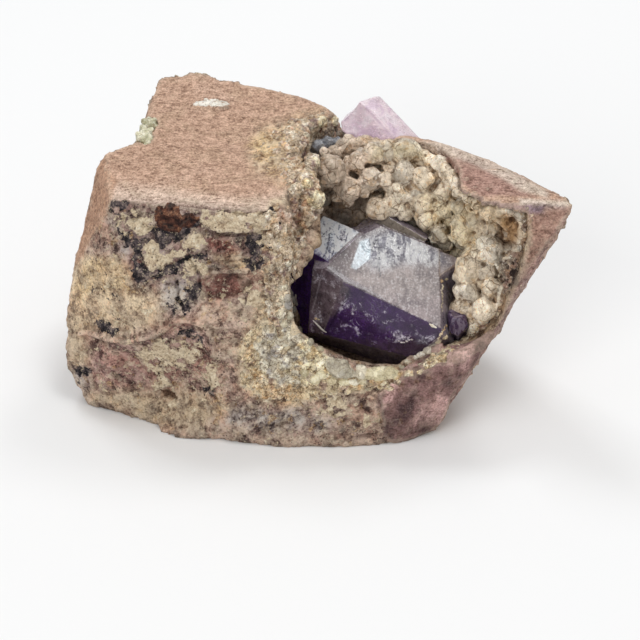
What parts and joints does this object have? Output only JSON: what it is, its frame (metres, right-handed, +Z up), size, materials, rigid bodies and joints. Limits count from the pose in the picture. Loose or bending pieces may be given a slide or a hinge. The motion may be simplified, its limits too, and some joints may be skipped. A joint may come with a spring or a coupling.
{
  "type": "amethyst specimen",
  "caption": "Block of reddish-brown volcanic rock with an open vug lined by nodular crust, holding stubby violet and smoky quartz crystals.",
  "frame": {"origin": "a point of the flat underside, below the left part of the vug", "axes": "+Z up from the flat underside, +X along the long side of the rock, +Y from the vug's side to the back"},
  "size_m": [0.1217, 0.0752, 0.0647],
  "materials": {
    "matrix_rock": "matte",
    "nodular_lining": "matte",
    "amethyst_cluster": "satin",
    "lilac_amethyst": "gloss",
    "violet_side_crystal": "gloss",
    "grey_quartz_rim": "satin",
    "hollow_druse": "satin",
    "lip_quartz": "satin",
    "notch_quartz": "satin",
    "white_amygdule": "matte"
  },
  "bodies": {
    "root": {"matrix_rock": "matrix_rock", "nodular_lining": "nodular_lining", "amethyst_cluster": "amethyst_cluster", "lilac_amethyst": "lilac_amethyst", "violet_side_crystal": "violet_side_crystal", "grey_quartz_rim": "grey_quartz_rim", "hollow_druse": "hollow_druse", "lip_quartz": "lip_quartz", "notch_quartz": "notch_quartz", "white_amygdule": "white_amygdule"}
  },
  "joints": []
}
